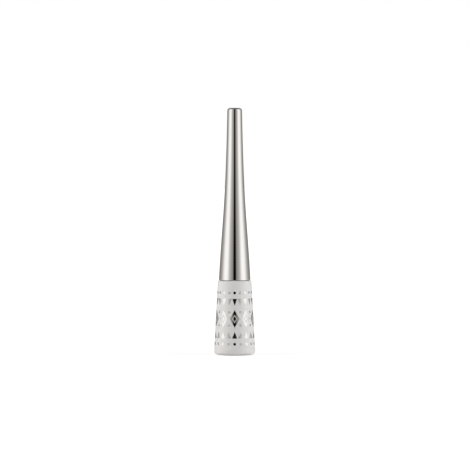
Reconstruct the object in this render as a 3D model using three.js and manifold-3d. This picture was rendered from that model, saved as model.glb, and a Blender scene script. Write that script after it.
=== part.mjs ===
// Liquid eyeliner bottle with a long tapered screw cap that carries the stem and brush.
// Millimetres, +Z up, origin at the centre of the base, every piece turned about the Z axis.
import * as THREE from "three";
import { mergeVertices } from "three/addons/utils/BufferGeometryUtils.js";
import Module from "manifold-3d";

const wasm = await Module();
wasm.setup();

// Facets of every turned piece, and points along their curves
const FACETS = 36;
const CURVE_STEPS = 14;
const ROUND_STEPS = 4;
const WELD = 1e-4; // corners nearer than this are one corner

// Clearances
const FIT = 0.1; // between pieces pressed or set together
const RUN = 0.15; // between pieces that turn or slide on each other
const CAP_GAP = 0.2; // dark line between the cap's rim and the shoulder
const THREAD_ROOM = 0.45; // space that the screw thread takes between neck and inner cap

// Outer sleeve: the satin flared shell that is held in the hand
const BOTTLE_HEIGHT = 31.6;
const BASE_DIAMETER = 17.4;
const BASE_ROUND = 1.4;
const BELLY_HEIGHT = 2.0;
const SHOULDER_LEDGE = 0.45;
const SHOULDER_ROUND = 0.45;
const BELLY_CURVE = 1.9; // length of the side curve's handle above the belly
const SLEEVE_WALL = 1.2;
const SLEEVE_TOP_WALL = 1.2;
const FOOT_WIDTH = 0.9;

// Base plug that closes the sleeve from below
const PLUG_RECESS = 0.25;
const PLUG_THICKNESS = 0.9;
const PLUG_SEAT = 0.3;
const PLUG_CHAMFER = 0.2;

// Ink vial with the neck
const VIAL_WALL = 0.9;
const VIAL_FLOOR = 0.8;
const VIAL_ROUND = 0.8;
const VIAL_SHOULDER_DROP = 1.0;
const NECK_LENGTH = 8.5;
const NECK_WALL = 1.0;
const NECK_CHAMFER = 0.25;
const INK_DEPTH = 20.0;
const INK_GAP = 0.2;

// Wiper: plug with a flange on the neck and a lip that strips the stem
const FLANGE_THICKNESS = 0.8;
const FLANGE_STEP = 0.25;
const WIPER_LENGTH = 6.4;
const WIPER_WALL = 0.4;
const LIP_DEPTH = 0.55;
const LIP_THICKNESS = 0.45;
const LIP_CONE = 0.9;
const LIP_SKIRT = 1.4;

// Cap shell: ogee side from a wide rim to a slim nose
const CAP_LENGTH = 73.2;
const CAP_RIM_DIAMETER = 13.5;
const CAP_NOSE_DIAMETER = 6.3;
const CAP_NOSE_ROUND = 1.3;
const CAP_RIM_CHAMFER = 0.15;
const CAP_WALL = 0.7;
const CAP_END_WALL = 1.4;
const RIM_HANDLE = 27.5; // length of the curve's handle at the rim
const RIM_SLOPE = 0.0544;
const NOSE_HANDLE = 41.5; // length of the curve's handle at the nose
const NOSE_SLOPE = 0.0189;

// Inner cap: threaded skirt, ceiling, stem socket and centring fins
const INNER_CAP_RECESS = 0.6;
const CEILING = 1.2;
const MOUTH_CHAMFER = 0.3;
const SOCKET_LENGTH = 6.5;
const SOCKET_WALL = 1.0;
const FIN_COUNT = 6;
const FIN_THICKNESS = 0.8;
const FIN_HEIGHT = 5.0;
const FIN_ROOT = 0.4; // depth that a fin is let into the socket and the ceiling

// Stem, from its snap head in the socket down to the brush
const STEM_DIAMETER = 3.6;
const STEM_END_DIAMETER = 3.3;
const STEM_MOUTH_DIAMETER = 2.7;
const STEM_END_TAPER = 2.8;
const SHANK_DIAMETER = 3.6;
const SEAL_CONE = 2.0;
const COLLAR_STEP = 0.25;
const WASHER_LIP_STEP = 0.25;
const WASHER_LIP_THICKNESS = 0.25;
const SNAP_STEP = 0.3;
const SNAP_HEIGHT = 0.6;
const HEAD_TAPER = 1.2;
const HEAD_END_DIAMETER = 2.2;

// Brush tip and sealing washer
const BRUSH_LENGTH = 10.25;
const BRUSH_ROOT_LENGTH = 4.5;
const BRUSH_ROOT_DIAMETER = 1.9;
const BRUSH_DIAMETER = 2.65;
const BRUSH_BELLY_RADIUS = 1.1; // handle of the side curve below the stem's mouth
const BRUSH_BELLY_DROP = 2.4;
const BRUSH_POINT_RADIUS = 0.5; // handle of the side curve over the point
const BRUSH_POINT_RISE = 0.85;
const BRUSH_CLEARANCE = 0.5; // between the point and the vial's floor
const WASHER_THICKNESS = 1.0;

// Heights that the pieces share
const rimZ = BOTTLE_HEIGHT + CAP_GAP;
const capTopZ = rimZ + CAP_LENGTH;
const plugTopZ = PLUG_RECESS + PLUG_THICKNESS;
const vialBaseZ = plugTopZ + FIT;
const vialFloorZ = vialBaseZ + VIAL_FLOOR;
const vialShoulderZ = BOTTLE_HEIGHT - SLEEVE_TOP_WALL - FIT;
const neckTopZ = BOTTLE_HEIGHT + NECK_LENGTH;
const flangeTopZ = neckTopZ + FLANGE_THICKNESS;
const washerBaseZ = flangeTopZ + FIT;
const washerTopZ = washerBaseZ + WASHER_THICKNESS;
const ceilingBaseZ = washerTopZ + FIT;
const ceilingTopZ = ceilingBaseZ + CEILING;
const socketTopZ = ceilingTopZ + SOCKET_LENGTH;
const pointZ = vialFloorZ + BRUSH_CLEARANCE;
const stemEndZ = pointZ + BRUSH_LENGTH;

// Radii that the pieces share, worked outwards from the stem
const stemR = STEM_DIAMETER / 2;
const lipR = stemR + RUN;
const wiperMouthR = lipR + LIP_DEPTH;
const wiperR = wiperMouthR + WIPER_WALL;
const neckBoreR = wiperR + FIT;
const neckR = neckBoreR + NECK_WALL;
const capBoreR = neckR + THREAD_ROOM;
const sealConeR = wiperMouthR - RUN;
const collarR = sealConeR + COLLAR_STEP;
const washerLipR = collarR + WASHER_LIP_STEP;
const shankR = SHANK_DIAMETER / 2;
const socketBoreR = shankR + FIT;
const socketR = socketBoreR + SOCKET_WALL;
const brushRootR = BRUSH_ROOT_DIAMETER / 2;
const stemBoreR = brushRootR + FIT;
const stemBoreTopZ = stemEndZ + BRUSH_ROOT_LENGTH + FIT;

// Radii of the sleeve and vial, worked inwards from the outside
const rimR = CAP_RIM_DIAMETER / 2;
const noseR = CAP_NOSE_DIAMETER / 2;
const baseR = BASE_DIAMETER / 2;
const shoulderR = rimR + SHOULDER_LEDGE;
const plugSeatR = baseR - BASE_ROUND - FOOT_WIDTH;
const sleeveBoreBaseR = plugSeatR - PLUG_SEAT;
const sleeveBoreTopR = shoulderR - SLEEVE_WALL;
const vialR = Math.min(sleeveBoreBaseR, sleeveBoreTopR) - RUN;
const vialBoreR = vialR - VIAL_WALL;

const at = (r, z) => new THREE.Vector2(r, z);

// Points on a circular arc in the plane of a profile, angles in degrees from the +r direction
function arc(centreR, centreZ, radius, from, to) {
  return Array.from({ length: ROUND_STEPS + 1 }, (_, i) => {
    const angle = THREE.MathUtils.degToRad(from + ((to - from) * i) / ROUND_STEPS);
    return at(centreR + radius * Math.cos(angle), centreZ + radius * Math.sin(angle));
  });
}

// Solid turned about +Z from a profile that runs up the outside
function turned(profile) {
  return new THREE.LatheGeometry(profile, FACETS).rotateX(Math.PI / 2);
}

// Ring turned about +Z: the profile is closed back onto its first point
function turnedRing(profile) {
  return turned([...profile, profile[0].clone()]);
}

// Radius of a rising profile at one height
function radiusAt(points, z) {
  const above = points.findIndex((p) => p.y >= z);
  const next = points[Math.max(above, 1)];
  const last = points[Math.max(above, 1) - 1];
  return THREE.MathUtils.mapLinear(z, last.y, next.y, last.x, next.x);
}

// Closed geometry as a solid for joining, and back
function toSolid(geometry) {
  const bare = geometry.clone();
  bare.deleteAttribute("normal");
  bare.deleteAttribute("uv");
  const merged = mergeVertices(bare, WELD);
  return new wasm.Manifold(
    new wasm.Mesh({
      numProp: 3,
      vertProperties: new Float32Array(merged.attributes.position.array),
      triVerts: new Uint32Array(merged.index.array),
    }),
  );
}

function toGeometry(solid) {
  const mesh = solid.getMesh();
  const geometry = new THREE.BufferGeometry();
  geometry.setAttribute("position", new THREE.BufferAttribute(mesh.vertProperties, mesh.numProp));
  geometry.setIndex(new THREE.BufferAttribute(mesh.triVerts, 1));
  geometry.computeVertexNormals();
  return geometry;
}

// Side of the cap from rim to nose, shared by the shell's two faces and by what sits inside it
const noseZ = capTopZ - CAP_NOSE_ROUND;
const capSide = new THREE.CubicBezierCurve(
  at(rimR, rimZ),
  at(rimR - RIM_SLOPE * RIM_HANDLE, rimZ + RIM_HANDLE),
  at(noseR + NOSE_SLOPE * NOSE_HANDLE, noseZ - NOSE_HANDLE),
  at(noseR, noseZ),
).getPoints(CURVE_STEPS);
const shellBore = capSide.map((p) => at(p.x - CAP_WALL, p.y));
const shellBoreAt = (z) => radiusAt(shellBore, z);
const innerCapOuterAt = (z) => shellBoreAt(z) - FIT;

// Outline of the brush from its point up to the stem's mouth
const brushSide = new THREE.CubicBezierCurve(
  at(0, pointZ),
  at(BRUSH_POINT_RADIUS, pointZ + BRUSH_POINT_RISE),
  at(BRUSH_BELLY_RADIUS, stemEndZ - BRUSH_BELLY_DROP),
  at(BRUSH_DIAMETER / 2, stemEndZ - FIT),
).getPoints(CURVE_STEPS);

function outerSleeve() {
  const roundTopZ = BOTTLE_HEIGHT - SHOULDER_ROUND;
  const side = new THREE.QuadraticBezierCurve(
    at(baseR, BELLY_HEIGHT),
    at(baseR, BELLY_HEIGHT + BELLY_CURVE),
    at(shoulderR, roundTopZ),
  ).getPoints(CURVE_STEPS);
  const holeR = neckR + RUN;
  const boreTopZ = BOTTLE_HEIGHT - SLEEVE_TOP_WALL;
  const seatZ = plugTopZ + FIT;
  return turnedRing([
    at(plugSeatR, 0),
    ...arc(baseR - BASE_ROUND, BASE_ROUND, BASE_ROUND, -90, 0),
    ...side,
    ...arc(shoulderR - SHOULDER_ROUND, roundTopZ, SHOULDER_ROUND, 0, 90).slice(1),
    at(holeR, BOTTLE_HEIGHT),
    at(holeR, boreTopZ),
    at(sleeveBoreTopR, boreTopZ),
    at(sleeveBoreBaseR, seatZ),
    at(plugSeatR, seatZ),
  ]);
}

function basePlug() {
  const r = plugSeatR - FIT;
  return turned([
    at(0, PLUG_RECESS),
    at(r - PLUG_CHAMFER, PLUG_RECESS),
    at(r, PLUG_RECESS + PLUG_CHAMFER),
    at(r, plugTopZ),
    at(0, plugTopZ),
  ]);
}

function inkVial() {
  const boreTopZ = vialShoulderZ - VIAL_WALL;
  return turned([
    at(0, vialBaseZ),
    ...arc(vialR - VIAL_ROUND, vialBaseZ + VIAL_ROUND, VIAL_ROUND, -90, 0),
    ...arc(vialR - VIAL_ROUND, vialShoulderZ - VIAL_ROUND, VIAL_ROUND, 0, 90),
    at(neckR, vialShoulderZ),
    at(neckR, neckTopZ - NECK_CHAMFER),
    at(neckR - NECK_CHAMFER, neckTopZ),
    at(neckBoreR, neckTopZ),
    at(neckBoreR, boreTopZ),
    at(vialBoreR, boreTopZ - VIAL_SHOULDER_DROP),
    at(vialBoreR, vialFloorZ),
    at(0, vialFloorZ),
  ]);
}

function eyelinerInk() {
  const inkR = vialBoreR - FIT;
  const inkBaseZ = vialFloorZ + FIT;
  const inkTopZ = inkBaseZ + INK_DEPTH;
  const boreR = stemR + INK_GAP;
  const tipBore = brushSide.slice(1).map((p) => at(p.x + INK_GAP, p.y));
  return turned([
    at(0, inkBaseZ),
    at(inkR, inkBaseZ),
    at(inkR, inkTopZ),
    at(boreR, inkTopZ),
    at(boreR, stemEndZ - FIT),
    ...tipBore.reverse(),
    at(0, pointZ - INK_GAP),
  ]);
}

function wiper() {
  const skirtZ = flangeTopZ - WIPER_LENGTH;
  const lipZ = skirtZ + LIP_SKIRT;
  const sinkZ = flangeTopZ - WASHER_LIP_THICKNESS - 2 * FIT;
  const sinkR = washerLipR + RUN;
  return turnedRing([
    at(wiperMouthR, skirtZ),
    at(wiperR, skirtZ),
    at(wiperR, neckTopZ),
    at(neckR - FLANGE_STEP, neckTopZ),
    at(neckR - FLANGE_STEP, flangeTopZ),
    at(sinkR, flangeTopZ),
    at(sinkR, sinkZ),
    at(wiperMouthR, sinkZ),
    at(wiperMouthR, lipZ + LIP_THICKNESS + LIP_CONE),
    at(lipR, lipZ + LIP_THICKNESS),
    at(lipR, lipZ),
    at(wiperMouthR, lipZ + LIP_CONE),
  ]);
}

function capShell() {
  const endZ = capTopZ - CAP_END_WALL;
  const bore = shellBore.filter((p) => p.y > rimZ && p.y < endZ);
  return turned([
    at(0, endZ),
    at(shellBoreAt(endZ), endZ),
    ...bore.reverse(),
    at(shellBore[0].x, rimZ),
    at(rimR - CAP_RIM_CHAMFER, rimZ),
    at(radiusAt(capSide, rimZ + CAP_RIM_CHAMFER), rimZ + CAP_RIM_CHAMFER),
    ...capSide.slice(1),
    ...arc(noseR - CAP_NOSE_ROUND, noseZ, CAP_NOSE_ROUND, 0, 90).slice(1),
    at(0, capTopZ),
  ]);
}

function innerCap() {
  const baseZ = rimZ + INNER_CAP_RECESS;
  const side = capSide.filter((p) => p.y > baseZ && p.y < ceilingTopZ);
  const body = turnedRing([
    at(innerCapOuterAt(baseZ), baseZ),
    ...side.map((p) => at(innerCapOuterAt(p.y), p.y)),
    at(innerCapOuterAt(ceilingTopZ), ceilingTopZ),
    at(socketR, ceilingTopZ),
    at(socketR, socketTopZ),
    at(socketBoreR, socketTopZ),
    at(socketBoreR, ceilingBaseZ),
    at(capBoreR, ceilingBaseZ),
    at(capBoreR, baseZ + MOUTH_CHAMFER),
    at(capBoreR + MOUTH_CHAMFER, baseZ),
  ]);
  const finTopZ = ceilingTopZ + FIN_HEIGHT;
  const rootR = socketR - FIN_ROOT;
  const rootZ = ceilingTopZ - FIN_ROOT;
  const finOutline = new THREE.Shape([
    at(rootR, rootZ),
    at(innerCapOuterAt(ceilingTopZ) - FIT, rootZ),
    at(innerCapOuterAt(ceilingTopZ) - FIT, ceilingTopZ),
    at(innerCapOuterAt(finTopZ) - FIT, finTopZ),
    at(rootR, finTopZ),
  ]);
  const fin = new THREE.ExtrudeGeometry(finOutline, { depth: FIN_THICKNESS, bevelEnabled: false });
  fin.rotateX(Math.PI / 2).translate(0, FIN_THICKNESS / 2, 0);
  let solid = toSolid(body);
  for (let i = 0; i < FIN_COUNT; i += 1) {
    const turn = (2 * Math.PI * i) / FIN_COUNT;
    solid = solid.add(toSolid(fin.clone().rotateZ(turn)));
  }
  return toGeometry(solid);
}

function wandStem() {
  const lipTopZ = washerBaseZ - FIT;
  const lipBaseZ = lipTopZ - WASHER_LIP_THICKNESS;
  const snapZ = socketTopZ + FIT;
  const headZ = snapZ + SNAP_HEIGHT;
  const snapR = shankR + SNAP_STEP;
  return turned([
    at(0, stemBoreTopZ),
    at(stemBoreR, stemBoreTopZ),
    at(stemBoreR, stemEndZ),
    at(STEM_MOUTH_DIAMETER / 2, stemEndZ),
    at(STEM_END_DIAMETER / 2, stemEndZ + STEM_END_TAPER),
    at(stemR, lipBaseZ - SEAL_CONE),
    at(sealConeR, lipBaseZ),
    at(washerLipR, lipBaseZ),
    at(washerLipR, lipTopZ),
    at(collarR, lipTopZ),
    at(collarR, ceilingBaseZ - FIT),
    at(shankR, ceilingBaseZ - FIT),
    at(shankR, snapZ),
    at(snapR, snapZ),
    at(snapR, headZ),
    at(HEAD_END_DIAMETER / 2, headZ + HEAD_TAPER),
    at(0, headZ + HEAD_TAPER),
  ]);
}

function brushTip() {
  const rootTopZ = stemBoreTopZ - FIT;
  return turned([
    ...brushSide,
    at(brushRootR, stemEndZ - FIT),
    at(brushRootR, rootTopZ),
    at(0, rootTopZ),
  ]);
}

function sealWasher() {
  const outerR = capBoreR - RUN;
  const innerR = collarR + FIT;
  return turnedRing([
    at(innerR, washerBaseZ),
    at(outerR, washerBaseZ),
    at(outerR, washerTopZ),
    at(innerR, washerTopZ),
  ]);
}

function piece(name, geometry, color, roughness, metalness) {
  const material = new THREE.MeshStandardMaterial({ color, roughness, metalness });
  const mesh = new THREE.Mesh(geometry, material);
  mesh.name = name;
  return mesh;
}

const bottle = new THREE.Group();
bottle.add(
  piece("outer_sleeve", outerSleeve(), 0xd9d7d4, 0.45, 0),
  piece("base_plug", basePlug(), 0xd2d0cd, 0.5, 0),
  piece("ink_vial", inkVial(), 0xe4e6e3, 0.3, 0),
  piece("eyeliner_ink", eyelinerInk(), 0x0b0b0d, 0.15, 0),
  piece("wiper", wiper(), 0xeceae2, 0.4, 0),
);

const applicator = new THREE.Group();
applicator.add(
  piece("cap_shell", capShell(), 0xcac7c2, 0.08, 1),
  piece("inner_cap", innerCap(), 0xefeeea, 0.45, 0),
  piece("wand_stem", wandStem(), 0x0e0e0f, 0.2, 0),
  piece("brush_tip", brushTip(), 0x0a0a0a, 0.8, 0),
  piece("seal_washer", sealWasher(), 0xf4f1ea, 0.6, 0),
);

const eyeliner = new THREE.Group();
eyeliner.add(bottle, applicator);

export default eyeliner;
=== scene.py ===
"""Looks of a closed liquid eyeliner bottle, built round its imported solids.

Every piece is turned about the bottle's own axis (+Z), rides on the body that
carries it and takes its main sizes from the solid that it stands for.
"""
import logging
import math
from dataclasses import dataclass, field
from enum import Enum
from typing import Callable, Sequence

import bpy
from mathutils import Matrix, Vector


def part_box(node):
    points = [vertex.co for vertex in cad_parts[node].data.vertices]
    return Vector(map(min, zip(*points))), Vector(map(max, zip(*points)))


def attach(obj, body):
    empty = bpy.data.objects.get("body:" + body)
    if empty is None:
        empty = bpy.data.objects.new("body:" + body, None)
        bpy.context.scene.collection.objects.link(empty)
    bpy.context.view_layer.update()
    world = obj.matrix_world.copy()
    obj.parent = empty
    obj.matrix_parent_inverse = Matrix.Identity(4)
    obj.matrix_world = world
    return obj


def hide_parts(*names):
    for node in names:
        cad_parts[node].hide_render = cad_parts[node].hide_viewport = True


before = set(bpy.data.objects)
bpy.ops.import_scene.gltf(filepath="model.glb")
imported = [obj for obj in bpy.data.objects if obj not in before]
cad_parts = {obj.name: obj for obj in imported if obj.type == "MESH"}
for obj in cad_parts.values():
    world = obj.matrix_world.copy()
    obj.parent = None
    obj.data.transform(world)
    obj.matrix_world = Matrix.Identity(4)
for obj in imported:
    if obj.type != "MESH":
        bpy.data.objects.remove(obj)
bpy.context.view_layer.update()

LOG = logging.getLogger("eyeliner_bottle")

MM = 0.001  # metres in a millimetre
FULL_TURN = 2.0 * math.pi
MERGE_GAP = 1e-6  # corners nearer than this are one corner, in metres
FIT = 0.1  # gap between pieces that are set together, in millimetres
WHITE = (1.0, 1.0, 1.0, 1.0)
LEVEL_TOP = 1.2  # top of the light tent's scale of brightness

Point = tuple[float, float]
Colour = tuple[float, float, float]
Object = bpy.types.Object
Node = bpy.types.Node
Socket = bpy.types.NodeSocket
Tree = bpy.types.NodeTree


class Body(Enum):
    """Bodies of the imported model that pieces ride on."""

    BOTTLE = "bottle"
    APPLICATOR = "applicator"


class Slot(Enum):
    """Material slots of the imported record."""

    SATIN_WHITE = "satin_white"
    PLUG_WHITE = "plug_white"
    NATURAL = "natural_plastic"
    WIPER = "wiper_plastic"
    METAL = "bright_metal"
    GLOSS_BLACK = "gloss_black"
    BRUSH_BLACK = "brush_black"


class Motif(Enum):
    """Shapes that the foil decoration is stamped from."""

    LOZENGE = "lozenge"
    DIAMOND = "diamond"
    TRIANGLE_UP = "triangle_up"
    TRIANGLE_DOWN = "triangle_down"
    DOT = "dot"

    @property
    def corners(self) -> int:
        """Corners of the flat shape that the motif is cut from.

        Returns:
            The number of corners.
        """
        if self is Motif.DOT:
            return 24
        return 4 if self in (Motif.LOZENGE, Motif.DIAMOND) else 3


# Shader graphs


class Graph:
    """Places and joins the nodes of one shader tree."""

    def __init__(self, tree: Tree) -> None:
        """Start from an empty tree."""
        self.tree = tree
        tree.nodes.clear()

    def add(self, kind: str, inputs: dict[str, object] | None = None, **settings: object) -> Node:
        """Place a node.

        Args:
            kind: Blender's type name of the node.
            inputs: Values for sockets, or output sockets to join them to.
            settings: Properties of the node itself.

        Returns:
            The new node.
        """
        node = self.tree.nodes.new(kind)
        for name, value in settings.items():
            setattr(node, name, value)
        for name, value in (inputs or {}).items():
            socket = node.inputs[int(name)] if name.isdigit() else node.inputs[name]
            if isinstance(value, Socket):
                self.tree.links.new(value, socket)
            else:
                socket.default_value = value
        return node

    def math(self, operation: str, first: object, second: object = 0.0) -> Socket:
        """Place a Math node on two values or sockets, and give its result."""
        return self.add("ShaderNodeMath", {"0": first, "1": second}, operation=operation).outputs[0]

    def group(self, tree: Tree, inputs: dict[str, object]) -> Socket:
        """Place a shared node group, and give its output."""
        return self.add("ShaderNodeGroup", inputs, node_tree=tree).outputs[0]

    def remap(self, value: Socket, reach: Point, ends: Point, curve: str = "SMOOTHSTEP") -> Socket:
        """Go from one level to another while a value crosses a range."""
        inputs = {"Value": value, "From Min": reach[0], "From Max": reach[1], "To Min": ends[0], "To Max": ends[1]}
        return self.add("ShaderNodeMapRange", inputs, interpolation_type=curve).outputs["Result"]

    def mix(self, share: Socket, first: object, second: object) -> Socket:
        """Mix two colours by the share of the second."""
        return self.add("ShaderNodeMix", {"Factor": share, "6": first, "7": second}, data_type="RGBA").outputs[2]

    def blend(self, share: object, first: Node, second: Node) -> Node:
        """Mix two shaders by the share of the second."""
        return self.add("ShaderNodeMixShader", {"Fac": share, "1": first.outputs[0], "2": second.outputs[0]})

    def ramp(self, factor: Socket, stops: Sequence[tuple[float, Colour]]) -> Socket:
        """Place a smooth colour ramp.

        Args:
            factor: Socket that runs along the ramp.
            stops: Position and colour of each stop.

        Returns:
            The ramp's colour socket.
        """
        node = self.add("ShaderNodeValToRGB", {"Fac": factor})
        elements = node.color_ramp.elements
        while len(elements) < len(stops):
            elements.new(1.0)
        for element, (place, colour) in zip(elements, stops):
            element.position = place
            element.color = (*colour, 1.0)
        return node.outputs["Color"]


class Effects:
    """Shared noise node groups, each built once and placed in many finishes."""

    @staticmethod
    def noise(name: str, detail: float, roughness: float) -> Tree:
        """Uneven noise with a contrast, as a level from 0 to 1.

        Args:
            name: Name of the group.
            detail: Number of finer layers.
            roughness: Weight of the finer layers.

        Returns:
            The group.
        """
        if name in bpy.data.node_groups:
            return bpy.data.node_groups[name]
        graph = Graph(bpy.data.node_groups.new(name, "ShaderNodeTree"))
        sockets = graph.tree.interface
        sockets.new_socket("Vector", in_out="INPUT", socket_type="NodeSocketVector")
        for label in ("Scale", "Contrast"):
            sockets.new_socket(label, in_out="INPUT", socket_type="NodeSocketFloat")
        sockets.new_socket("Level", in_out="OUTPUT", socket_type="NodeSocketFloat")
        given = graph.add("NodeGroupInput").outputs
        inputs = {"Vector": given["Vector"], "Scale": given["Scale"], "Detail": detail, "Roughness": roughness}
        grey = graph.add("ShaderNodeTexNoise", inputs).outputs["Fac"]
        spread = graph.math("MULTIPLY", graph.math("SUBTRACT", grey, 0.5), given["Contrast"])
        level = graph.add("ShaderNodeMath", {"0": spread, "1": 0.5}, operation="ADD", use_clamp=True)
        graph.add("NodeGroupOutput", {"Level": level.outputs[0]})
        return graph.tree

    @staticmethod
    def mottle() -> Tree:
        """Soft uneven tone of lacquer, plastic and metal."""
        return Effects.noise("mottle", detail=4.0, roughness=0.55)

    @staticmethod
    def streaks() -> Tree:
        """Fine lines of drawing or spinning, stretched by the vector that comes in."""
        return Effects.noise("draw_lines", detail=3.0, roughness=0.7)

    @staticmethod
    def peel() -> Tree:
        """Fine orange-peel height of a sprayed or moulded skin."""
        return Effects.noise("orange_peel", detail=2.0, roughness=0.5)


# Finishes


@dataclass(frozen=True)
class Finish:
    """A surface finish: two close tones, a range of gloss and a fine relief.

    Attributes:
        name: Name of the material.
        light: Base colour where the surface is cleanest.
        dark: Base colour where the tone sinks.
        gloss: Lowest and highest roughness.
        tone_scale: Size of the tone's clouds, in cells a metre.
        tone_contrast: How sharply the two tones part.
        line_contrast: How sharply the fine lines part glossy from dull.
        relief_scale: Size of the fine lines and relief, in cells a metre.
        relief_depth: Depth of the fine relief in metres.
        grain: Stretch of the fine lines along X, Y and Z.
    """

    name: str
    light: Colour
    dark: Colour
    gloss: Point
    tone_scale: float = 260.0
    tone_contrast: float = 1.6
    line_contrast: float = 1.8
    relief_scale: float = 2600.0
    relief_depth: float = 2e-6
    grain: tuple[float, float, float] = (1.0, 1.0, 1.0)

    def shader_values(self) -> dict[str, object]:
        """Plain values of the finish's own shader sockets."""
        return {}

    def material(self) -> bpy.types.Material:
        """Build the finish, or give it back if it is already built.

        Returns:
            The material.
        """
        if self.name in bpy.data.materials:
            return bpy.data.materials[self.name]
        material = bpy.data.materials.new(self.name)
        material.use_nodes = True
        graph = Graph(material.node_tree)
        place = graph.add("ShaderNodeTexCoord").outputs["Object"]
        clouds = {"Vector": place, "Scale": self.tone_scale, "Contrast": self.tone_contrast}
        tone = graph.group(Effects.mottle(), clouds)
        stretched = graph.add("ShaderNodeMapping", {"Vector": place, "Scale": self.grain}).outputs["Vector"]
        fine = {"Vector": stretched, "Scale": self.relief_scale}
        lines = graph.group(Effects.streaks(), {**fine, "Contrast": self.line_contrast})
        skin = graph.group(Effects.peel(), {**fine, "Contrast": 1.0})
        bump = graph.add("ShaderNodeBump", {"Strength": 1.0, "Distance": self.relief_depth, "Height": skin})
        shader = graph.add(
            "ShaderNodeBsdfPrincipled",
            {
                "Base Color": graph.mix(tone, (*self.dark, 1.0), (*self.light, 1.0)),
                "Roughness": graph.remap(lines, (0.0, 1.0), self.gloss, "LINEAR"),
                "Normal": bump.outputs["Normal"],
                **self.shader_values(),
            },
        )
        graph.add("ShaderNodeOutputMaterial", {"Surface": shader.outputs["BSDF"]})
        return material


@dataclass(frozen=True)
class PolishedMetal(Finish):
    """Bright metal or metal foil."""

    def shader_values(self) -> dict[str, object]:
        """Metal all through."""
        return {"Metallic": 1.0}


@dataclass(frozen=True)
class Moulded(Finish):
    """Moulded or lacquered plastic.

    Attributes:
        coat: Weight of the clear gloss on top.
        depth: Weight of the light that travels under the skin.
        reach: How far that light travels, in metres.
    """

    coat: float = 0.0
    depth: float = 0.0
    reach: float = 0.4 * MM

    def shader_values(self) -> dict[str, object]:
        """Clear coat and light under the skin.

        Returns:
            The values by their sockets' names.
        """
        return {
            "Coat Weight": self.coat,
            "Coat Roughness": 0.12,
            "Subsurface Weight": self.depth,
            "Subsurface Scale": self.reach,
            "Subsurface Radius": (1.0, 0.95, 0.9),
        }


BRIGHT_METAL = PolishedMetal(
    "bright_cap_metal",
    (0.875, 0.862, 0.842),
    (0.845, 0.832, 0.812),
    (0.035, 0.075),
    tone_scale=180.0,
    relief_scale=3200.0,
    relief_depth=2.0e-8,
    grain=(0.15, 0.15, 1.0),
)
SILVER_FOIL = PolishedMetal(
    "silver_foil",
    (0.87, 0.86, 0.84),
    (0.80, 0.79, 0.77),
    (0.07, 0.14),
    tone_scale=700.0,
    relief_scale=2400.0,
    relief_depth=6e-7,
)
SATIN_LACQUER = Moulded(
    "satin_white_lacquer", (0.846, 0.83, 0.828), (0.806, 0.788, 0.786), (0.38, 0.5), relief_depth=1.6e-6
)
PLUG_PLASTIC = Moulded("plug_plastic", (0.72, 0.71, 0.69), (0.66, 0.65, 0.63), (0.5, 0.64), relief_depth=4e-6)
NATURAL_PLASTIC = Moulded(
    "natural_vial_plastic", (0.82, 0.825, 0.80), (0.76, 0.765, 0.74), (0.26, 0.36), coat=0.15, depth=0.25
)
WIPER_PLASTIC = Moulded("wiper_plastic", (0.85, 0.84, 0.79), (0.79, 0.78, 0.73), (0.34, 0.46), depth=0.3)
WASHER_FOAM = Moulded("washer_foam", (0.88, 0.86, 0.82), (0.80, 0.78, 0.74), (0.7, 0.85), relief_depth=2e-5)
INNER_PLASTIC = Moulded("inner_cap_plastic", (0.86, 0.855, 0.84), (0.80, 0.795, 0.78), (0.4, 0.52), depth=0.1)
GLOSS_BLACK = Moulded(
    "gloss_black_stem",
    (0.0042, 0.0042, 0.0048),
    (0.0024, 0.0024, 0.0028),
    (0.06, 0.1),
    relief_depth=4e-8,
    grain=(1.0, 1.0, 0.08),
)
BRUSH_BLACK = Moulded(
    "brush_black",
    (0.007, 0.007, 0.007),
    (0.003, 0.003, 0.003),
    (0.3, 0.46),
    relief_scale=6000.0,
    relief_depth=8e-6,
    grain=(1.0, 1.0, 0.06),
)
INK_LIQUID = Moulded("eyeliner_ink", (0.006, 0.006, 0.007), (0.004, 0.004, 0.005), (0.06, 0.1), coat=0.5)


# Bench tools


@dataclass
class Outline:
    """Profile of a turned piece, as radius and height in millimetres.

    Attributes:
        points: Points in order along the profile.
    """

    points: list[Point] = field(default_factory=list)

    def to(self, *points: Point) -> "Outline":
        """Run straight through more points, and give the outline back."""
        self.points.extend(points)
        return self

    def arc(self, centre: Point, radius: float, start: float, end: float, steps: int = 8) -> "Outline":
        """Run round a circular arc.

        Args:
            centre: Centre of the arc.
            radius: Radius of the arc.
            start: First angle in degrees, from the outward direction.
            end: Last angle in degrees.
            steps: Number of straight steps.

        Returns:
            The outline itself.
        """
        for i in range(steps + 1):
            angle = math.radians(start + (end - start) * i / steps)
            self.points.append((centre[0] + radius * math.cos(angle), centre[1] + radius * math.sin(angle)))
        return self


def bezier(handles: Sequence[Point], steps: int) -> list[Point]:
    """Points on a Bezier curve of any degree.

    Args:
        handles: End points and handles.
        steps: Number of straight steps.

    Returns:
        The points, both ends included.
    """
    points = []
    for i in range(steps + 1):
        t = i / steps
        level = list(handles)
        while len(level) > 1:
            level = [
                (a[0] + (b[0] - a[0]) * t, a[1] + (b[1] - a[1]) * t) for a, b in zip(level[:-1], level[1:])
            ]
        points.append(level[0])
    return points


def radius_at(side: Sequence[Point], height: float) -> float:
    """Radius of a rising side at one height.

    Args:
        side: Points of the side, from low to high.
        height: Height in millimetres.

    Returns:
        The radius in millimetres.
    """
    for (r0, z0), (r1, z1) in zip(side[:-1], side[1:]):
        if height <= z1:
            return r0 + (r1 - r0) * (height - z0) / (z1 - z0)
    return side[-1][0]


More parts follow.
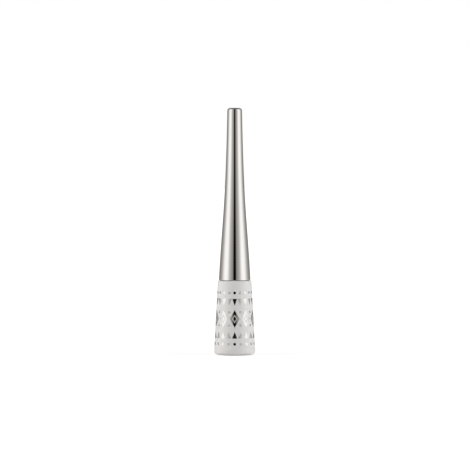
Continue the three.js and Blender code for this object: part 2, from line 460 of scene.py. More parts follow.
class Bench:
    """Edit-mode steps that every piece is made with."""

    @staticmethod
    def clear() -> None:
        """Leave edit mode with nothing selected."""
        if bpy.context.mode != "OBJECT":
            bpy.ops.object.mode_set(mode="OBJECT")
        bpy.ops.object.select_all(action="DESELECT")

    @staticmethod
    def hold(piece: Object) -> None:
        """Make one piece the only selected one.

        Args:
            piece: The piece.
        """
        Bench.clear()
        piece.select_set(True)
        bpy.context.view_layer.objects.active = piece

    @staticmethod
    def edit(piece: Object) -> None:
        """Open a piece in edit mode with all of it selected.

        Args:
            piece: The piece.
        """
        Bench.hold(piece)
        bpy.ops.object.mode_set(mode="EDIT")
        bpy.ops.mesh.select_all(action="SELECT")

    @staticmethod
    def name(piece: Object, name: str) -> Object:
        """Name a piece and its mesh, and put its place into the mesh.

        Args:
            piece: The piece, held and in object mode.
            name: The new name.

        Returns:
            The piece.
        """
        piece.name = name
        piece.data.name = name
        bpy.ops.object.transform_apply(location=True, rotation=True, scale=True)
        return piece

    @staticmethod
    def draw(name: str, points: Sequence[Point]) -> Object:
        """Draw a profile in the XZ plane by extruding one vertex from point to point.

        Args:
            name: Name of the piece.
            points: Radius and height of each point, in millimetres.

        Returns:
            The piece, in edit mode.
        """
        Bench.clear()
        first = Vector((points[0][0], 0.0, points[0][1])) * MM
        bpy.ops.mesh.primitive_plane_add(size=MM, location=first)
        piece = Bench.name(bpy.context.object, name)
        Bench.edit(piece)
        bpy.ops.mesh.merge(type="CENTER")
        for (r0, z0), (r1, z1) in zip(points[:-1], points[1:]):
            step = ((r1 - r0) * MM, 0.0, (z1 - z0) * MM)
            bpy.ops.mesh.extrude_region_move(TRANSFORM_OT_translate={"value": step})
        return piece

    @staticmethod
    def turn(name: str, points: Sequence[Point], steps: int, ring: bool = False) -> Object:
        """Turn a profile about +Z, as on a lathe.

        Args:
            name: Name of the piece.
            points: Radius and height of each point, in millimetres.
            steps: Steps round the full turn.
            ring: Whether the profile closes onto its first point.

        Returns:
            The turned piece, in object mode.
        """
        piece = Bench.draw(name, [*points, points[0]] if ring else points)
        bpy.ops.mesh.select_all(action="SELECT")
        bpy.ops.mesh.spin(steps=steps, angle=FULL_TURN, center=(0.0, 0.0, 0.0), axis=(0.0, 0.0, 1.0))
        Bench.close()
        return piece

    @staticmethod
    def close() -> None:
        """Merge doubles, turn the faces outwards and leave edit mode."""
        bpy.ops.mesh.select_all(action="SELECT")
        bpy.ops.mesh.remove_doubles(threshold=MERGE_GAP)
        bpy.ops.mesh.normals_make_consistent(inside=False)
        bpy.ops.object.mode_set(mode="OBJECT")

    @staticmethod
    def apply(piece: Object, kind: str, **settings: object) -> None:
        """Add a modifier and apply it.

        Args:
            piece: The piece.
            kind: Blender's type name of the modifier.
            settings: Properties of the modifier.
        """
        Bench.hold(piece)
        modifier = piece.modifiers.new(kind.lower(), kind)
        for name, value in settings.items():
            setattr(modifier, name, value)
        bpy.ops.object.modifier_apply(modifier=modifier.name)

    @staticmethod
    def repeat(piece: Object, count: int, pitch: float) -> None:
        """Copy a piece along X.

        Args:
            piece: The piece.
            count: Number of copies in all.
            pitch: Distance from copy to copy, in millimetres.
        """
        Bench.apply(
            piece,
            "ARRAY",
            count=count,
            use_relative_offset=False,
            use_constant_offset=True,
            constant_offset_displace=(pitch * MM, 0.0, 0.0),
        )

    @staticmethod
    def move(piece: Object, shift: Callable[[int, Vector], Vector]) -> None:
        """Move every vertex of a piece.

        Args:
            piece: The piece, in object mode.
            shift: Gives the new place from a vertex's number and place.
        """
        for vertex in piece.data.vertices:
            vertex.co = shift(vertex.index, vertex.co.copy())
        piece.data.update()

    @staticmethod
    def finish(
        piece: Object,
        coat: Finish,
        body: Body,
        slot: Slot,
        replaced: Sequence[str] = (),
        crease: float = 32.0,
    ) -> Object:
        """Smooth and dress a piece, hang it on its body and hide the solids that it stands for.

        Args:
            piece: The piece, in object mode.
            coat: Its finish.
            body: The body that it rides on.
            slot: The record's material slot; not used.
            replaced: Solids that the piece stands for.
            crease: Angle in degrees past which an edge stays sharp.

        Returns:
            The piece.
        """
        Bench.hold(piece)
        bpy.ops.object.shade_smooth_by_angle(angle=math.radians(crease))
        piece.data.materials.clear()
        piece.data.materials.append(coat.material())
        Bench.clear()
        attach(piece, body.value)
        if replaced:
            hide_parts(*replaced)
        return piece


def span(node: str) -> tuple[float, float, float]:
    """Lowest height, highest height and largest radius of a solid of the frame, in millimetres."""
    low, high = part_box(node)
    return low.z / MM, high.z / MM, high.x / MM


def dress(node: str, coat: Finish) -> Object:
    """Give a solid of the frame a finish.

    Args:
        node: Name of the solid.
        coat: The finish.

    Returns:
        The solid.
    """
    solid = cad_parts[node]
    for place in solid.material_slots:
        place.material = coat.material()
    return solid


# Bottle


@dataclass
class Sleeve:
    """Flared satin shell of the bottle and the plug that closes its base.

    Attributes:
        top: Height of the shoulder's ledge.
        base_radius: Largest radius, low on the belly.
        ledge: Width of the ledge outside the cap's rim.
        shoulder_radius: Radius where the side meets the shoulder's round.
        base_round: Radius of the round between foot and side.
        shoulder_round: Radius of the round between side and ledge.
        belly: Height at which the side starts to draw in.
        belly_curve: Length of the curve's handle above the belly.
        foot_radius: Inside radius of the foot, where the plug sits.
        seat: Height of the plug's seat.
        bore: Radius of the bore that takes the vial.
        neck_hole: Radius of the hole round the neck.
        top_wall: Thickness of the ledge.
        steps: Steps round the full turn.
    """

    top: float = span("outer_sleeve")[1]
    base_radius: float = span("outer_sleeve")[2]
    ledge: float = 0.45
    shoulder_radius: float = span("cap_shell")[2] + ledge
    base_round: float = 1.4
    shoulder_round: float = 0.45
    belly: float = 2.0
    belly_curve: float = 1.9
    foot_radius: float = span("base_plug")[2] + FIT
    seat: float = span("base_plug")[1] + FIT
    bore: float = span("ink_vial")[2] + 2 * FIT
    neck_hole: float = 4.15
    top_wall: float = 1.2
    steps: int = 192

    def side(self) -> list[Point]:
        """Side of the shell, from the belly up to the shoulder's round.

        Returns:
            The points of the side.
        """
        handles = [
            (self.base_radius, self.belly),
            (self.base_radius, self.belly + self.belly_curve),
            (self.shoulder_radius, self.top - self.shoulder_round),
        ]
        return bezier(handles, steps=48)

    def radius(self, height: float) -> float:
        """Outside radius at one height, in millimetres."""
        return radius_at(self.side(), height)

    def build_shell(self) -> Object:
        """Turn the shell, open at the base.

        Returns:
            The shell.
        """
        foot_edge = 0.12
        hole_edge = 0.2
        foot_centre = (self.base_radius - self.base_round, self.base_round)
        shoulder_centre = (self.shoulder_radius - self.shoulder_round, self.top - self.shoulder_round)
        outline = Outline().to((self.foot_radius, foot_edge), (self.foot_radius + foot_edge, 0.0))
        outline.arc(foot_centre, self.base_round, -90, 0, steps=14)
        outline.to(*self.side())
        outline.arc(shoulder_centre, self.shoulder_round, 0, 90, steps=12)
        outline.to(
            (self.neck_hole + hole_edge, self.top),
            (self.neck_hole, self.top - hole_edge),
            (self.neck_hole, self.top - self.top_wall),
            (self.bore, self.top - self.top_wall),
            (self.bore, self.seat),
            (self.foot_radius, self.seat),
        )
        shell = Bench.turn("sleeve_shell", outline.points, self.steps, ring=True)
        return Bench.finish(shell, SATIN_LACQUER, Body.BOTTLE, Slot.SATIN_WHITE, ("outer_sleeve",))

    def build_plug(self) -> Object:
        """Turn the plug, with a shallow dish and a moulding gate in its middle.

        Returns:
            The plug.
        """
        low, high, radius = span("base_plug")
        chamfer = 0.2
        dish = 0.2
        dish_radius = 0.82 * radius
        gate = (0.9, 0.12)
        dish_low = low + dish
        outline = Outline().to(
            (0.0, dish_low - gate[1]),
            (gate[0] - gate[1], dish_low - gate[1]),
            (gate[0], dish_low),
            (dish_radius - dish, dish_low),
            (dish_radius, low),
            (radius - chamfer, low),
            (radius, low + chamfer),
            (radius, high),
            (0.0, high),
        )
        plug = Bench.turn("base_plug_disc", outline.points, self.steps)
        return Bench.finish(plug, PLUG_PLASTIC, Body.BOTTLE, Slot.PLUG_WHITE, ("base_plug",))

    def build(self) -> list[Object]:
        """Build the shell and its plug."""
        return [self.build_shell(), self.build_plug()]


@dataclass
class FoilRow:
    """One row of foil motifs round the sleeve.

    Attributes:
        name: Name of the piece.
        motif: Shape that repeats.
        count: Number of motifs round the sleeve.
        width: Width of a motif along the surface.
        height: Height of a motif.
        middle: Height of the row's middle line.
        turn: Part of a pitch that the row is turned by.
        line: Width of the line of an open motif.
    """

    name: str
    motif: Motif
    count: int
    width: float
    height: float
    middle: float
    turn: float = 0.0
    line: float = 0.5


@dataclass
class FoilDecoration:
    """Silver foil stamped on the sleeve in generic rows.

    Attributes:
        sleeve: The sleeve that carries the foil.
        rows: Rows of motifs.
        proud: How far the foil stands off the lacquer.
        sunk: How far its underside sinks into the lacquer.
        cuts: Cuts along each edge of a motif, so that it bends with the sleeve.
    """

    sleeve: Sleeve
    rows: tuple[FoilRow, ...] = (
        FoilRow("foil_beads_high", Motif.DOT, 20, 1.15, 1.15, 26.6),
        FoilRow("foil_points_high", Motif.TRIANGLE_DOWN, 20, 2.1, 2.9, 22.9),
        FoilRow("foil_lozenges", Motif.LOZENGE, 10, 4.2, 7.4, 15.6, line=0.95),
        FoilRow("foil_lozenge_hearts", Motif.DIAMOND, 10, 1.4, 2.5, 15.6),
        FoilRow("foil_dots_high", Motif.DOT, 10, 1.1, 1.1, 18.4, turn=0.5),
        FoilRow("foil_dots_low", Motif.DOT, 10, 1.1, 1.1, 12.8, turn=0.5),
        FoilRow("foil_points_low", Motif.TRIANGLE_UP, 20, 2.3, 2.7, 8.4),
        FoilRow("foil_beads_low", Motif.DOT, 20, 1.2, 1.2, 4.9),
    )
    proud: float = 0.03
    sunk: float = 0.02
    cuts: int = 7

    def stamp(self, row: FoilRow) -> Object:
        """Cut one flat motif of a row.

        Args:
            row: The row.

        Returns:
            The motif, flat in the XY plane.
        """
        Bench.clear()
        bpy.ops.mesh.primitive_circle_add(vertices=row.motif.corners, radius=MM, fill_type="TRIFAN")
        piece = bpy.context.object
        across, up = piece.dimensions.x / MM, piece.dimensions.y / MM
        Bench.edit(piece)
        bpy.ops.transform.resize(value=(row.width / across, row.height / up, 1.0))
        if row.motif is Motif.TRIANGLE_DOWN:
            bpy.ops.transform.rotate(value=math.pi, orient_axis="Z", center_override=(0.0, 0.0, 0.0))
        if row.motif is Motif.LOZENGE:
            bpy.ops.mesh.inset(thickness=row.line * MM)
            bpy.ops.mesh.delete(type="FACE")
        if row.motif is not Motif.DOT:
            bpy.ops.mesh.select_all(action="SELECT")
            bpy.ops.mesh.subdivide(number_cuts=self.cuts)
        bpy.ops.object.mode_set(mode="OBJECT")
        return Bench.name(piece, row.name)

    def build_row(self, row: FoilRow) -> Object:
        """Repeat a motif round the sleeve and wrap it onto the side.

        Args:
            row: The row.

        Returns:
            The row as one piece.
        """
        piece = self.stamp(row)
        reference = self.sleeve.radius(row.middle)
        Bench.repeat(piece, row.count, FULL_TURN * reference / row.count)

        def wrap(_: int, place: Vector) -> Vector:
            """Bend a flat place round the sleeve.

            Args:
                place: Place on the flat foil.

            Returns:
                The place on the sleeve.
            """
            height = row.middle + place.y / MM
            angle = place.x / (reference * MM) + row.turn * FULL_TURN / row.count
            radius = self.sleeve.radius(height) - self.sunk
            return Vector((radius * math.sin(angle), -radius * math.cos(angle), height)) * MM

        Bench.move(piece, wrap)
        Bench.apply(piece, "SOLIDIFY", thickness=(self.proud + self.sunk) * MM, offset=1.0)
        return Bench.finish(piece, SILVER_FOIL, Body.BOTTLE, Slot.METAL)

    def build(self) -> list[Object]:
        """Build every row."""
        return [self.build_row(row) for row in self.rows]


@dataclass
class Vial:
    """Vial with its threaded neck, the wiper in the neck and the ink.

    Attributes:
        base: Height of the vial's underside.
        neck_top: Height of the neck's end.
        radius: Outside radius of the vial.
        shoulder: Height of the vial's shoulder.
        neck_radius: Outside radius of the neck.
        neck_bore: Bore of the neck.
        wall: Wall of the vial.
        floor: Thickness of the vial's floor.
        corner: Round of the vial's corners.
        thread_start: Height of the thread's lower end.
        thread_pitch: Rise of the thread in one turn.
        thread_turns: Turns of the thread.
        thread_depth: Height of the ridge over the neck.
        thread_width: Width of the ridge at its root.
        thread_crest: Width of the ridge's crest, as a share of its root.
        run_out: Part of a turn over which each end of the thread runs out.
        steps: Steps round the full turn.
    """

    base: float = span("ink_vial")[0]
    neck_top: float = span("ink_vial")[1]
    radius: float = span("ink_vial")[2]
    shoulder: float = 30.3
    neck_radius: float = 4.0
    neck_bore: float = 3.0
    wall: float = 0.9
    floor: float = 0.8
    corner: float = 0.8
    thread_start: float = 33.6
    thread_pitch: float = 2.2
    thread_turns: float = 1.75
    thread_depth: float = 0.3
    thread_width: float = 1.0
    thread_crest: float = 0.4
    run_out: float = 0.2
    steps: int = 128

    def build_vial(self) -> Object:
        """Turn the vial with its neck.

        Returns:
            The vial.
        """
        lead = 0.25
        bead = 0.12
        bore = self.radius - self.wall
        bore_top = self.shoulder - self.wall
        drop = 1.0
        outline = Outline().to((0.0, self.base))
        outline.arc((self.radius - self.corner, self.base + self.corner), self.corner, -90, 0)
        outline.arc((self.radius - self.corner, self.shoulder - self.corner), self.corner, 0, 90)
        outline.to((self.neck_radius + bead, self.shoulder), (self.neck_radius, self.shoulder + bead))
        outline.arc((self.neck_radius - lead, self.neck_top - lead), lead, 0, 90, steps=5)
        outline.to(
            (self.neck_bore, self.neck_top),
            (self.neck_bore, bore_top),
            (bore, bore_top - drop),
            (bore, self.base + self.floor),
            (0.0, self.base + self.floor),
        )
        vial = Bench.turn("vial_with_neck", outline.points, self.steps)
        return Bench.finish(vial, NATURAL_PLASTIC, Body.BOTTLE, Slot.NATURAL, ("ink_vial",))

    def build_thread(self) -> Object:
        """Wind the thread's ridge round the neck, running out at both ends.

        Returns:
            The thread.
        """
        sunk = 0.06
        half = self.thread_width / 2
        crest = self.thread_crest * half
        root = self.neck_radius - sunk
        section = [
            (root, self.thread_start - half),
            (self.neck_radius + self.thread_depth, self.thread_start - crest),
            (self.neck_radius + self.thread_depth, self.thread_start + crest),
            (root, self.thread_start + half),
        ]
        thread = Bench.draw("neck_thread", section)
        bpy.ops.mesh.select_all(action="SELECT")
        bpy.ops.mesh.edge_face_add()
        bpy.ops.mesh.delete(type="ONLY_FACE")
        bpy.ops.object.mode_set(mode="OBJECT")
        rounds = int(self.steps * self.thread_turns)
        Bench.apply(
            thread,
            "SCREW",
            axis="Z",
            angle=FULL_TURN * self.thread_turns,
            screw_offset=self.thread_pitch * self.thread_turns * MM,
            steps=rounds,
            render_steps=rounds,
            use_smooth_shade=False,
        )
        corners = len(section)
        run_out = self.run_out * self.steps

        def fade(number: int, place: Vector) -> Vector:
            """Sink the ridge into the neck towards both ends, where it closes in a point.

            Args:
                number: Number of the vertex, which tells its step along the ridge.
                place: Place on the even ridge.

            Returns:
                The place on the ridge that runs out.
            """
            step = number // corners
            part = min(1.0, min(step, rounds - step) / run_out)
            radius = math.hypot(place.x, place.y)
            sunk_radius = root * MM + (radius - root * MM) * math.sin(0.5 * math.pi * part)
            scale = sunk_radius / radius
            middle = (self.thread_start + self.thread_pitch * self.thread_turns * step / rounds) * MM
            return Vector((place.x * scale, place.y * scale, place.z if part else middle))

        Bench.move(thread, fade)
        Bench.edit(thread)
        Bench.close()
        return Bench.finish(thread, NATURAL_PLASTIC, Body.BOTTLE, Slot.NATURAL, crease=50.0)

    def build_wiper(self) -> Object:
        """Turn the wiper: flange, skirt and the lip that strips the stem.

        Returns:
            The wiper.
        """
        low, high, flange = span("wiper")
        mouth = 2.5
        lip = 1.95
        skirt = 1.4
        thick = 0.45
        cone = 0.9
        edge = 0.12
        lip_low = low + skirt
        lip_high = lip_low + thick
        plug = self.neck_bore - FIT
        sink = (3.0, high - thick)
        outline = Outline().to((mouth, low), (plug, low), (plug, self.neck_top), (flange, self.neck_top))
        outline.arc((flange - edge, high - edge), edge, 0, 90, steps=4)
        outline.to((sink[0] + edge, high), (sink[0], high - edge), sink, (mouth, sink[1]))
        outline.to((mouth, lip_high + cone), (lip, lip_high), (lip, lip_low), (mouth, lip_low + cone))
        wiper = Bench.turn("wiper_plug", outline.points, self.steps, ring=True)
        return Bench.finish(wiper, WIPER_PLASTIC, Body.BOTTLE, Slot.WIPER, ("wiper",))

    def build(self) -> list[Object]:
        """Build the vial, thread and wiper, and dress the ink."""
        return [self.build_vial(), self.build_thread(), self.build_wiper(), dress("eyeliner_ink", INK_LIQUID)]


# Applicator


@dataclass
class CapShell:
    """Long ogee metal shell of the cap.

    Attributes:
        rim: Height of the rim.
        top: Height of the nose's end.
        rim_radius: Radius of the rim.
        nose_radius: Radius of the nose.
        nose_round: Round between side and end.
        rim_edge: Round of the rim's outer edge.
        rim_handle: Length of the side curve's handle at the rim.
        rim_slope: Slope of the side at the rim.
        nose_handle: Length of the side curve's handle at the nose.
        nose_slope: Slope of the side at the nose.
        wall: Wall of the shell.
        end_wall: Thickness of the nose's end.
        hold: Distance of the edge loop that keeps the side's shading true.
        steps: Steps round the full turn.
    """

    rim: float = span("cap_shell")[0]
    top: float = span("cap_shell")[1]
    rim_radius: float = span("cap_shell")[2]
    nose_radius: float = 3.15
    nose_round: float = 1.3
    rim_edge: float = 0.12
    rim_handle: float = 27.5
    rim_slope: float = 0.0544
    nose_handle: float = 41.5
    nose_slope: float = 0.0189
    wall: float = 0.7
    end_wall: float = 1.4
    hold: float = 0.05
    steps: int = 192

    def side(self) -> list[Point]:
        """Side of the shell, from the rim up to the nose.

        Returns:
            The points of the side.
        """
        nose = self.top - self.nose_round
        handles = [
            (self.rim_radius, self.rim),
            (self.rim_radius - self.rim_slope * self.rim_handle, self.rim + self.rim_handle),
            (self.nose_radius + self.nose_slope * self.nose_handle, nose - self.nose_handle),
            (self.nose_radius, nose),
        ]
        return bezier(handles, steps=72)

    def build(self) -> list[Object]:
        """Turn the shell with its bore.

        Returns:
            The shell.
        """
        side = self.side()
        end = self.top - self.end_wall
        bore_stride = 4  # the bore keeps every fourth point of the side
        round_start = 2  # degrees, past the edge loop under the nose's round
        bore = [(r - self.wall, z) for r, z in side if self.rim < z < end]
        outline = Outline().to((0.0, end), (bore[-1][0], end), *bore[::-bore_stride])
        outline.to((self.rim_radius - self.wall, self.rim + self.rim_edge))
        edge = self.rim + self.rim_edge
        outline.arc((self.rim_radius - self.wall + self.rim_edge, edge), self.rim_edge, 180, 270, steps=4)
        outline.arc((self.rim_radius - self.rim_edge, edge), self.rim_edge, -90, 0, steps=6)
        nose = self.top - self.nose_round
        low_hold = self.rim + 2 * self.rim_edge
        high_hold = nose - self.hold
        outline.to((radius_at(side, low_hold), low_hold))
        outline.to(*(p for p in side if low_hold < p[1] < high_hold))
        outline.to((radius_at(side, high_hold), high_hold))
        outline.arc((self.nose_radius - self.nose_round, nose), self.nose_round, round_start, 90, steps=18)
        outline.to((0.0, self.top))
        shell = Bench.turn("cap_metal_shell", outline.points, self.steps)
        return [Bench.finish(shell, BRIGHT_METAL, Body.APPLICATOR, Slot.METAL, ("cap_shell",))]


@dataclass
class Wand:
    """Stem of the applicator and the brush in its end.

    Attributes:
        stem_end: Height of the stem's mouth.
        stem_top: Height of the stem's head.
        stem_radius: Radius of the stem under its seal cone.
        end_radius: Radius of the stem above its tapered end.
        mouth_radius: Radius of the mouth.
        bore_radius: Bore that takes the brush's root.
        bore_top: Height of the bore's end.
        end_taper: Length of the tapered end.
        cone: Length of the cone that seals in the wiper's mouth.
        point: Height of the brush's point.
        brush_radius: Largest radius of the brush.
        brush_top: Height of the brush's end at the stem's mouth.
        point_handle: Radius of the side curve's lower handle, and its height over the point.
        belly_handle: Radius of the upper handle, and its depth under the stem's mouth.
        steps: Steps round the full turn.
        strands: Number of strands in the brush's outer ring.
    """

    stem_end: float = span("wand_stem")[0]
    stem_top: float = span("wand_stem")[1]
    stem_radius: float = 1.8
    end_radius: float = 1.65
    mouth_radius: float = 1.35
    bore_radius: float = 1.05
    bore_top: float = 17.4
    end_taper: float = 2.8
    cone: float = 2.0
    point: float = span("brush_tip")[0]
    brush_radius: float = span("brush_tip")[2]
    brush_top: float = stem_end - 0.02
    point_handle: Point = (0.5, 0.85)
    belly_handle: Point = (1.1, 2.4)
    steps: int = 96
    strands: int = 34

    def build_stem(self) -> Object:
        """Turn the stem from its mouth to its snap head.

        Returns:
            The stem.
        """
        seal, washer_lip, collar, shank, snap, head = 2.35, 2.85, 2.6, 1.8, 2.1, 1.1  # radii, upwards
        lip_thickness = 0.25
        snap_height = 0.6
        washer_low, washer_high, _ = span("seal_washer")
        lip_top = washer_low - FIT
        lip_low = lip_top - lip_thickness
        snap_low = span("inner_cap")[1] + FIT
        taper_top = self.stem_end + self.end_taper
        cone_low = lip_low - self.cone
        side = [(self.end_radius, taper_top), (self.stem_radius, cone_low)]
        blend_top = taper_top + self.end_taper
        outline = Outline().to((0.0, self.bore_top), (self.bore_radius, self.bore_top))
        outline.to((self.bore_radius, self.stem_end))
        end = [(self.mouth_radius, self.stem_end), side[0], (radius_at(side, blend_top), blend_top)]
        outline.to(*bezier(end, steps=12))
        outline.to(side[1], (seal, lip_low), (washer_lip, lip_low), (washer_lip, lip_top))
        outline.to((collar, lip_top), (collar, washer_high), (shank, washer_high), (shank, snap_low))
        outline.to((snap, snap_low), (snap, snap_low + snap_height), (head, self.stem_top), (0.0, self.stem_top))
        stem = Bench.turn("wand_stem_rod", outline.points, self.steps)
        return Bench.finish(stem, GLOSS_BLACK, Body.APPLICATOR, Slot.GLOSS_BLACK, ("wand_stem",))

    def brush_side(self) -> list[Point]:
        """Side of the brush, from its point up to the stem's mouth.

        Returns:
            The points of the side.
        """
        handles = [
            (0.0, self.point),
            (self.point_handle[0], self.point + self.point_handle[1]),
            (self.belly_handle[0], self.stem_end - self.belly_handle[1]),
            (self.brush_radius, self.brush_top),
        ]
        return bezier(handles, steps=40)

    def build_core(self) -> Object:
        """Turn the brush's core and the root in the stem.

        Returns:
            The core.
        """
        full = 0.94
        root = self.bore_radius - FIT
        root_top = self.bore_top - FIT
        outline = Outline().to(*((r * full, z) for r, z in self.brush_side()))
        outline.to((root, self.brush_top), (root, root_top), (0.0, root_top))
        core = Bench.turn("brush_core", outline.points, self.steps)
        return Bench.finish(core, BRUSH_BLACK, Body.APPLICATOR, Slot.BRUSH_BLACK, ("brush_tip",))

    def build_strands(self) -> Object:
        """Lay fine strands over the core, drawn together at the point.

        Returns:
            The strands as one piece.
        """
        thickness = 0.1
        lengths = 14
        apart = 10.0
        ragged = 0.05  # largest share of its length that a strand stays short of the point
        fining = 0.85  # share of its thickness that a strand loses towards the point
        sway = 0.08  # largest lean of a strand, in radians
        Bench.clear()
        bpy.ops.mesh.primitive_circle_add(vertices=6, radius=thickness * MM, fill_type="NGON")
        piece = bpy.context.object
        Bench.edit(piece)
        for _ in range(lengths):
            bpy.ops.mesh.extrude_region_move(TRANSFORM_OT_translate={"value": (0.0, 0.0, MM / lengths)})
        Bench.close()
        Bench.name(piece, "brush_strands")
        Bench.repeat(piece, self.strands, apart)
        side = self.brush_side()
        length = self.brush_top - self.point

        def lay(_: int, place: Vector) -> Vector:
            """Lean a straight strand along the brush's side.

            Args:
                place: Place on the row of straight strands.

            Returns:
                The place on the brush.
            """
            number = round(place.x / (apart * MM))
            across = place.x / MM - number * apart
            along = place.z / MM
            reach = 1.0 - ragged * ((number * 7) % 5) / 4
            height = self.brush_top - length * reach * along
            taper = 1.0 - fining * along**1.5
            radius = max(0.0, radius_at(side, height) - thickness * taper) + across * taper
            angle = FULL_TURN * number / self.strands + sway * math.sin(number * 2.4) * along
            sideways = place.y / MM * taper
            return Vector(
                (
                    radius * math.cos(angle) - sideways * math.sin(angle),
                    radius * math.sin(angle) + sideways * math.cos(angle),
                    height,
                )
            ) * MM

        Bench.move(piece, lay)
        Bench.edit(piece)
        bpy.ops.mesh.normals_make_consistent(inside=False)
        bpy.ops.object.mode_set(mode="OBJECT")
        return Bench.finish(piece, BRUSH_BLACK, Body.APPLICATOR, Slot.BRUSH_BLACK, crease=70.0)

    def build(self) -> list[Object]:
        """Build the stem and the brush."""
        return [self.build_stem(), self.build_core(), self.build_strands()]


class CapInside:
    """Inner cap and sealing washer, which keep their solids' shapes."""

    def build(self) -> list[Object]:
        """Dress both solids."""
        return [dress("inner_cap", INNER_PLASTIC), dress("seal_washer", WASHER_FOAM)]


# Studio


@dataclass
class Studio:
    """White table, wrap-round studio light and the camera, in metres.

    Attributes:
        aim: Point that the middle of the image looks at.
        distance: Distance of the camera.
        elevation: Height of the camera over the horizon, in degrees.
        field: Width of the view at the aim.
        wall: Brightness round the horizon by degrees from the front.
        grey_tone: Tint of the tent where it is not bright.
        ceiling: Brightness straight above.
        ceiling_from: Sines of the elevations at which the ceiling starts and is full.
        lamp_power: Power of each side's soft box, in watts.
        fill_power: Power of the soft box behind, in watts.
        lamp_size: Width and height of a soft box.
        lamp_turn: Turn of the soft boxes from the front, in degrees.
        lamp_rise: Rise of the soft boxes over the horizon, in degrees.
        lamp_distance: Distance of the soft boxes.
        warm: Tint of the light from the left.
        cool: Tint of the light from the right and from behind.
        floor_size: Side of the floor.
        floor_tone: Albedo of the floor.
        floor_glow: Brightness of the floor to the camera, away from the bottle.
        shadow_share: Share of the floor's look that light and shadow make beside the bottle.
        shadow_reach: Distances from the bottle where that share starts to fade and ends.
        gleam_share: Share of the floor's look in metal that the tent's painted gleam on it makes, an emission that
            only glossy rays see.
    """

    aim: tuple[float, float, float] = (0.00014, 0.0, 0.05092)
    distance: float = 1.42
    elevation: float = 1.8
    field: float = 0.19996
    wall: tuple[Point, ...] = (
        (0.0, 0.002), (6.6, 0.002), (9.2, 0.08),
        (15.0, 0.285), (24.0, 0.36), (32.0, 0.45), (40.0, 0.58), (48.0, 0.83),
        (57.0, 1.06), (70.0, 1.12), (85.0, 0.98), (96.0, 0.70), (108.0, 0.46),
        (122.0, 0.325), (138.0, 0.23), (150.0, 0.21), (160.0, 0.26), (170.0, 0.45), (180.0, 0.6),
    )
    grey_tone: Colour = (1.035, 1.0, 0.96)
    ceiling: float = 0.1
    ceiling_from: Point = (0.6, 0.97)
    lamp_power: float = 2.88
    fill_power: float = 1.8
    lamp_size: Point = (0.5, 0.7)
    lamp_turn: float = 79.0
    lamp_rise: float = 30.0
    lamp_distance: float = 0.8
    warm: Colour = (1.0, 0.985, 0.955)
    cool: Colour = (0.975, 0.99, 1.0)
    floor_size: float = 8.0
    floor_tone: float = 0.8
    floor_glow: float = 1.2
    shadow_share: float = 0.35
    shadow_reach: Point = (0.02, 0.14)
    gleam_share: float = 0.85

    def tent_colour(self, level: float) -> Colour:
        """Colour of the tent at one brightness.

        Args:
            level: Brightness, 1 for white.

        Returns:
            The colour, as a share of the brightest level.
        """
        tint_rise = 2.0  # the tint is full from half brightness down
        share = min(1.0, tint_rise * max(0.0, 1.0 - level))
        red, green, blue = (level / LEVEL_TOP * (1.0 + (tone - 1.0) * share) for tone in self.grey_tone)
        return red, green, blue

    def tent_levels(self, graph: Graph, axes: Node) -> Socket:
        """Brightness of the tent by its turn from the front.

        Args:
            graph: Shader tree to place the nodes in.
            axes: Separate XYZ node of the direction or place.

        Returns:
            Colour socket, as a share of the brightest level.
        """
        away = graph.math("MULTIPLY", axes.outputs["Y"], -1.0)
        turn = graph.math("ABSOLUTE", graph.math("ARCTAN2", axes.outputs["X"], away))
        stops = [(degrees / 180.0, self.tent_colour(level)) for degrees, level in self.wall]
        return graph.ramp(graph.math("DIVIDE", turn, math.pi), stops)

    def light(self) -> None:
        """Paint the wrap-round light: a dark flag in front, bright sides, grey behind and above."""
        world = bpy.data.worlds.new("soft_studio")
        bpy.context.scene.world = world
        world.use_nodes = True
        graph = Graph(world.node_tree)
        direction = graph.add("ShaderNodeTexCoord").outputs["Generated"]
        axes = graph.add("ShaderNodeSeparateXYZ", {"Vector": direction})
        rise = graph.remap(axes.outputs["Z"], self.ceiling_from, (0.0, 1.0))
        tent = graph.mix(rise, self.tent_levels(graph, axes), (*(self.ceiling / LEVEL_TOP,) * 3, 1.0))
        studio = graph.add("ShaderNodeBackground", {"Color": tent, "Strength": LEVEL_TOP})
        backdrop = graph.add("ShaderNodeBackground", {"Color": WHITE, "Strength": 1.0})
        path = graph.add("ShaderNodeLightPath")
        seen = graph.blend(path.outputs["Is Camera Ray"], studio, backdrop)
        graph.add("ShaderNodeOutputWorld", {"Surface": seen.outputs[0]})

    def soft_box(self, name: str, turn: float, power: float, tint: Colour) -> None:
        """Hang one soft box that lights the satin but does not show in the metal.

        Args:
            name: Name of the lamp.
            turn: Turn from the front, in radians.
            power: Power in watts.
            tint: Colour of its light.
        """
        Bench.clear()
        rise = math.radians(self.lamp_rise)
        out = Vector((math.sin(turn) * math.cos(rise), -math.cos(turn) * math.cos(rise), math.sin(rise)))
        aim = Vector(self.aim)
        bpy.ops.object.light_add(type="AREA", location=aim + out * self.lamp_distance)
        lamp = bpy.context.object
        lamp.name = name
        lamp.rotation_euler = out.to_track_quat("Z", "Y").to_euler()
        lamp.data.shape = "RECTANGLE"
        lamp.data.size, lamp.data.size_y = self.lamp_size
        lamp.data.energy = power
        lamp.data.color = tint
        lamp.visible_glossy = False

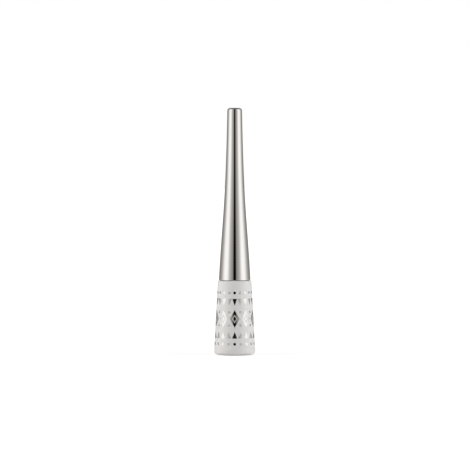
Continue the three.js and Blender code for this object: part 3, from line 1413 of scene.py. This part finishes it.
    def floor(self) -> None:
        """Lay the white table, which keeps a soft shadow and shows metal a painted gleam of the tent."""
        Bench.clear()
        bpy.ops.mesh.primitive_plane_add(size=self.floor_size)
        table = Bench.name(bpy.context.object, "studio_floor")
        material = bpy.data.materials.new("studio_white")
        material.use_nodes = True
        graph = Graph(material.node_tree)
        paper = graph.add("ShaderNodeBsdfDiffuse", {"Color": (*(self.floor_tone,) * 3, 1.0)})
        glow = graph.add("ShaderNodeEmission", {"Color": WHITE, "Strength": self.floor_glow})
        place = graph.add("ShaderNodeTexCoord").outputs["Object"]
        away = graph.add("ShaderNodeVectorMath", {"0": place}, operation="LENGTH").outputs["Value"]
        near = graph.remap(away, self.shadow_reach, (self.shadow_share, 0.0))
        white = graph.blend(near, glow, paper)
        path = graph.add("ShaderNodeLightPath")
        axes = graph.add("ShaderNodeSeparateXYZ", {"Vector": place})
        # Painted reflection: to glossy rays the floor glows with the tent's brightness by turn round the bottle,
        # bright to the sides and dark in front.
        gleam = graph.add("ShaderNodeEmission", {"Color": self.tent_levels(graph, axes), "Strength": LEVEL_TOP})
        shiny = graph.blend(self.gleam_share, paper, gleam)
        in_metal = graph.blend(path.outputs["Is Glossy Ray"], paper, shiny)
        look = graph.blend(path.outputs["Is Camera Ray"], in_metal, white)
        graph.add("ShaderNodeOutputMaterial", {"Surface": look.outputs[0]})
        table.data.materials.append(material)

    def camera(self) -> None:
        """Stand the camera at the photograph's viewing angle."""
        Bench.clear()
        tilt = math.radians(self.elevation)
        aim = Vector(self.aim)
        back = Vector((0.0, -math.cos(tilt), math.sin(tilt))) * self.distance
        bpy.ops.object.camera_add(location=aim + back, rotation=(math.pi / 2 - tilt, 0.0, 0.0))
        camera = bpy.context.object
        camera.name = "product_camera"
        camera.data.sensor_width = 36.0
        camera.data.lens = camera.data.sensor_width * self.distance / self.field
        camera.data.dof.use_dof = False
        bpy.context.scene.camera = camera

    def build(self) -> None:
        """Light the set, lay the floor and stand the camera."""
        self.light()
        turn = math.radians(self.lamp_turn)
        self.soft_box("soft_box_left", -turn, self.lamp_power, self.warm)
        self.soft_box("soft_box_right", turn, self.lamp_power, self.cool)
        self.soft_box("soft_box_back", math.pi, self.fill_power, self.cool)
        self.floor()
        self.camera()
        bpy.context.scene.view_settings.view_transform = "Standard"


def main() -> None:
    """Build the studio and every sub-assembly."""
    logging.basicConfig(level=logging.INFO, format="%(name)s: %(message)s")
    Studio().build()
    sleeve = Sleeve()
    for assembly in (sleeve, FoilDecoration(sleeve), Vial(), CapShell(), CapInside(), Wand()):
        for piece in assembly.build():
            LOG.info("%s: %s with %d faces", type(assembly).__name__, piece.name, len(piece.data.polygons))


if __name__ == "__main__":
    main()
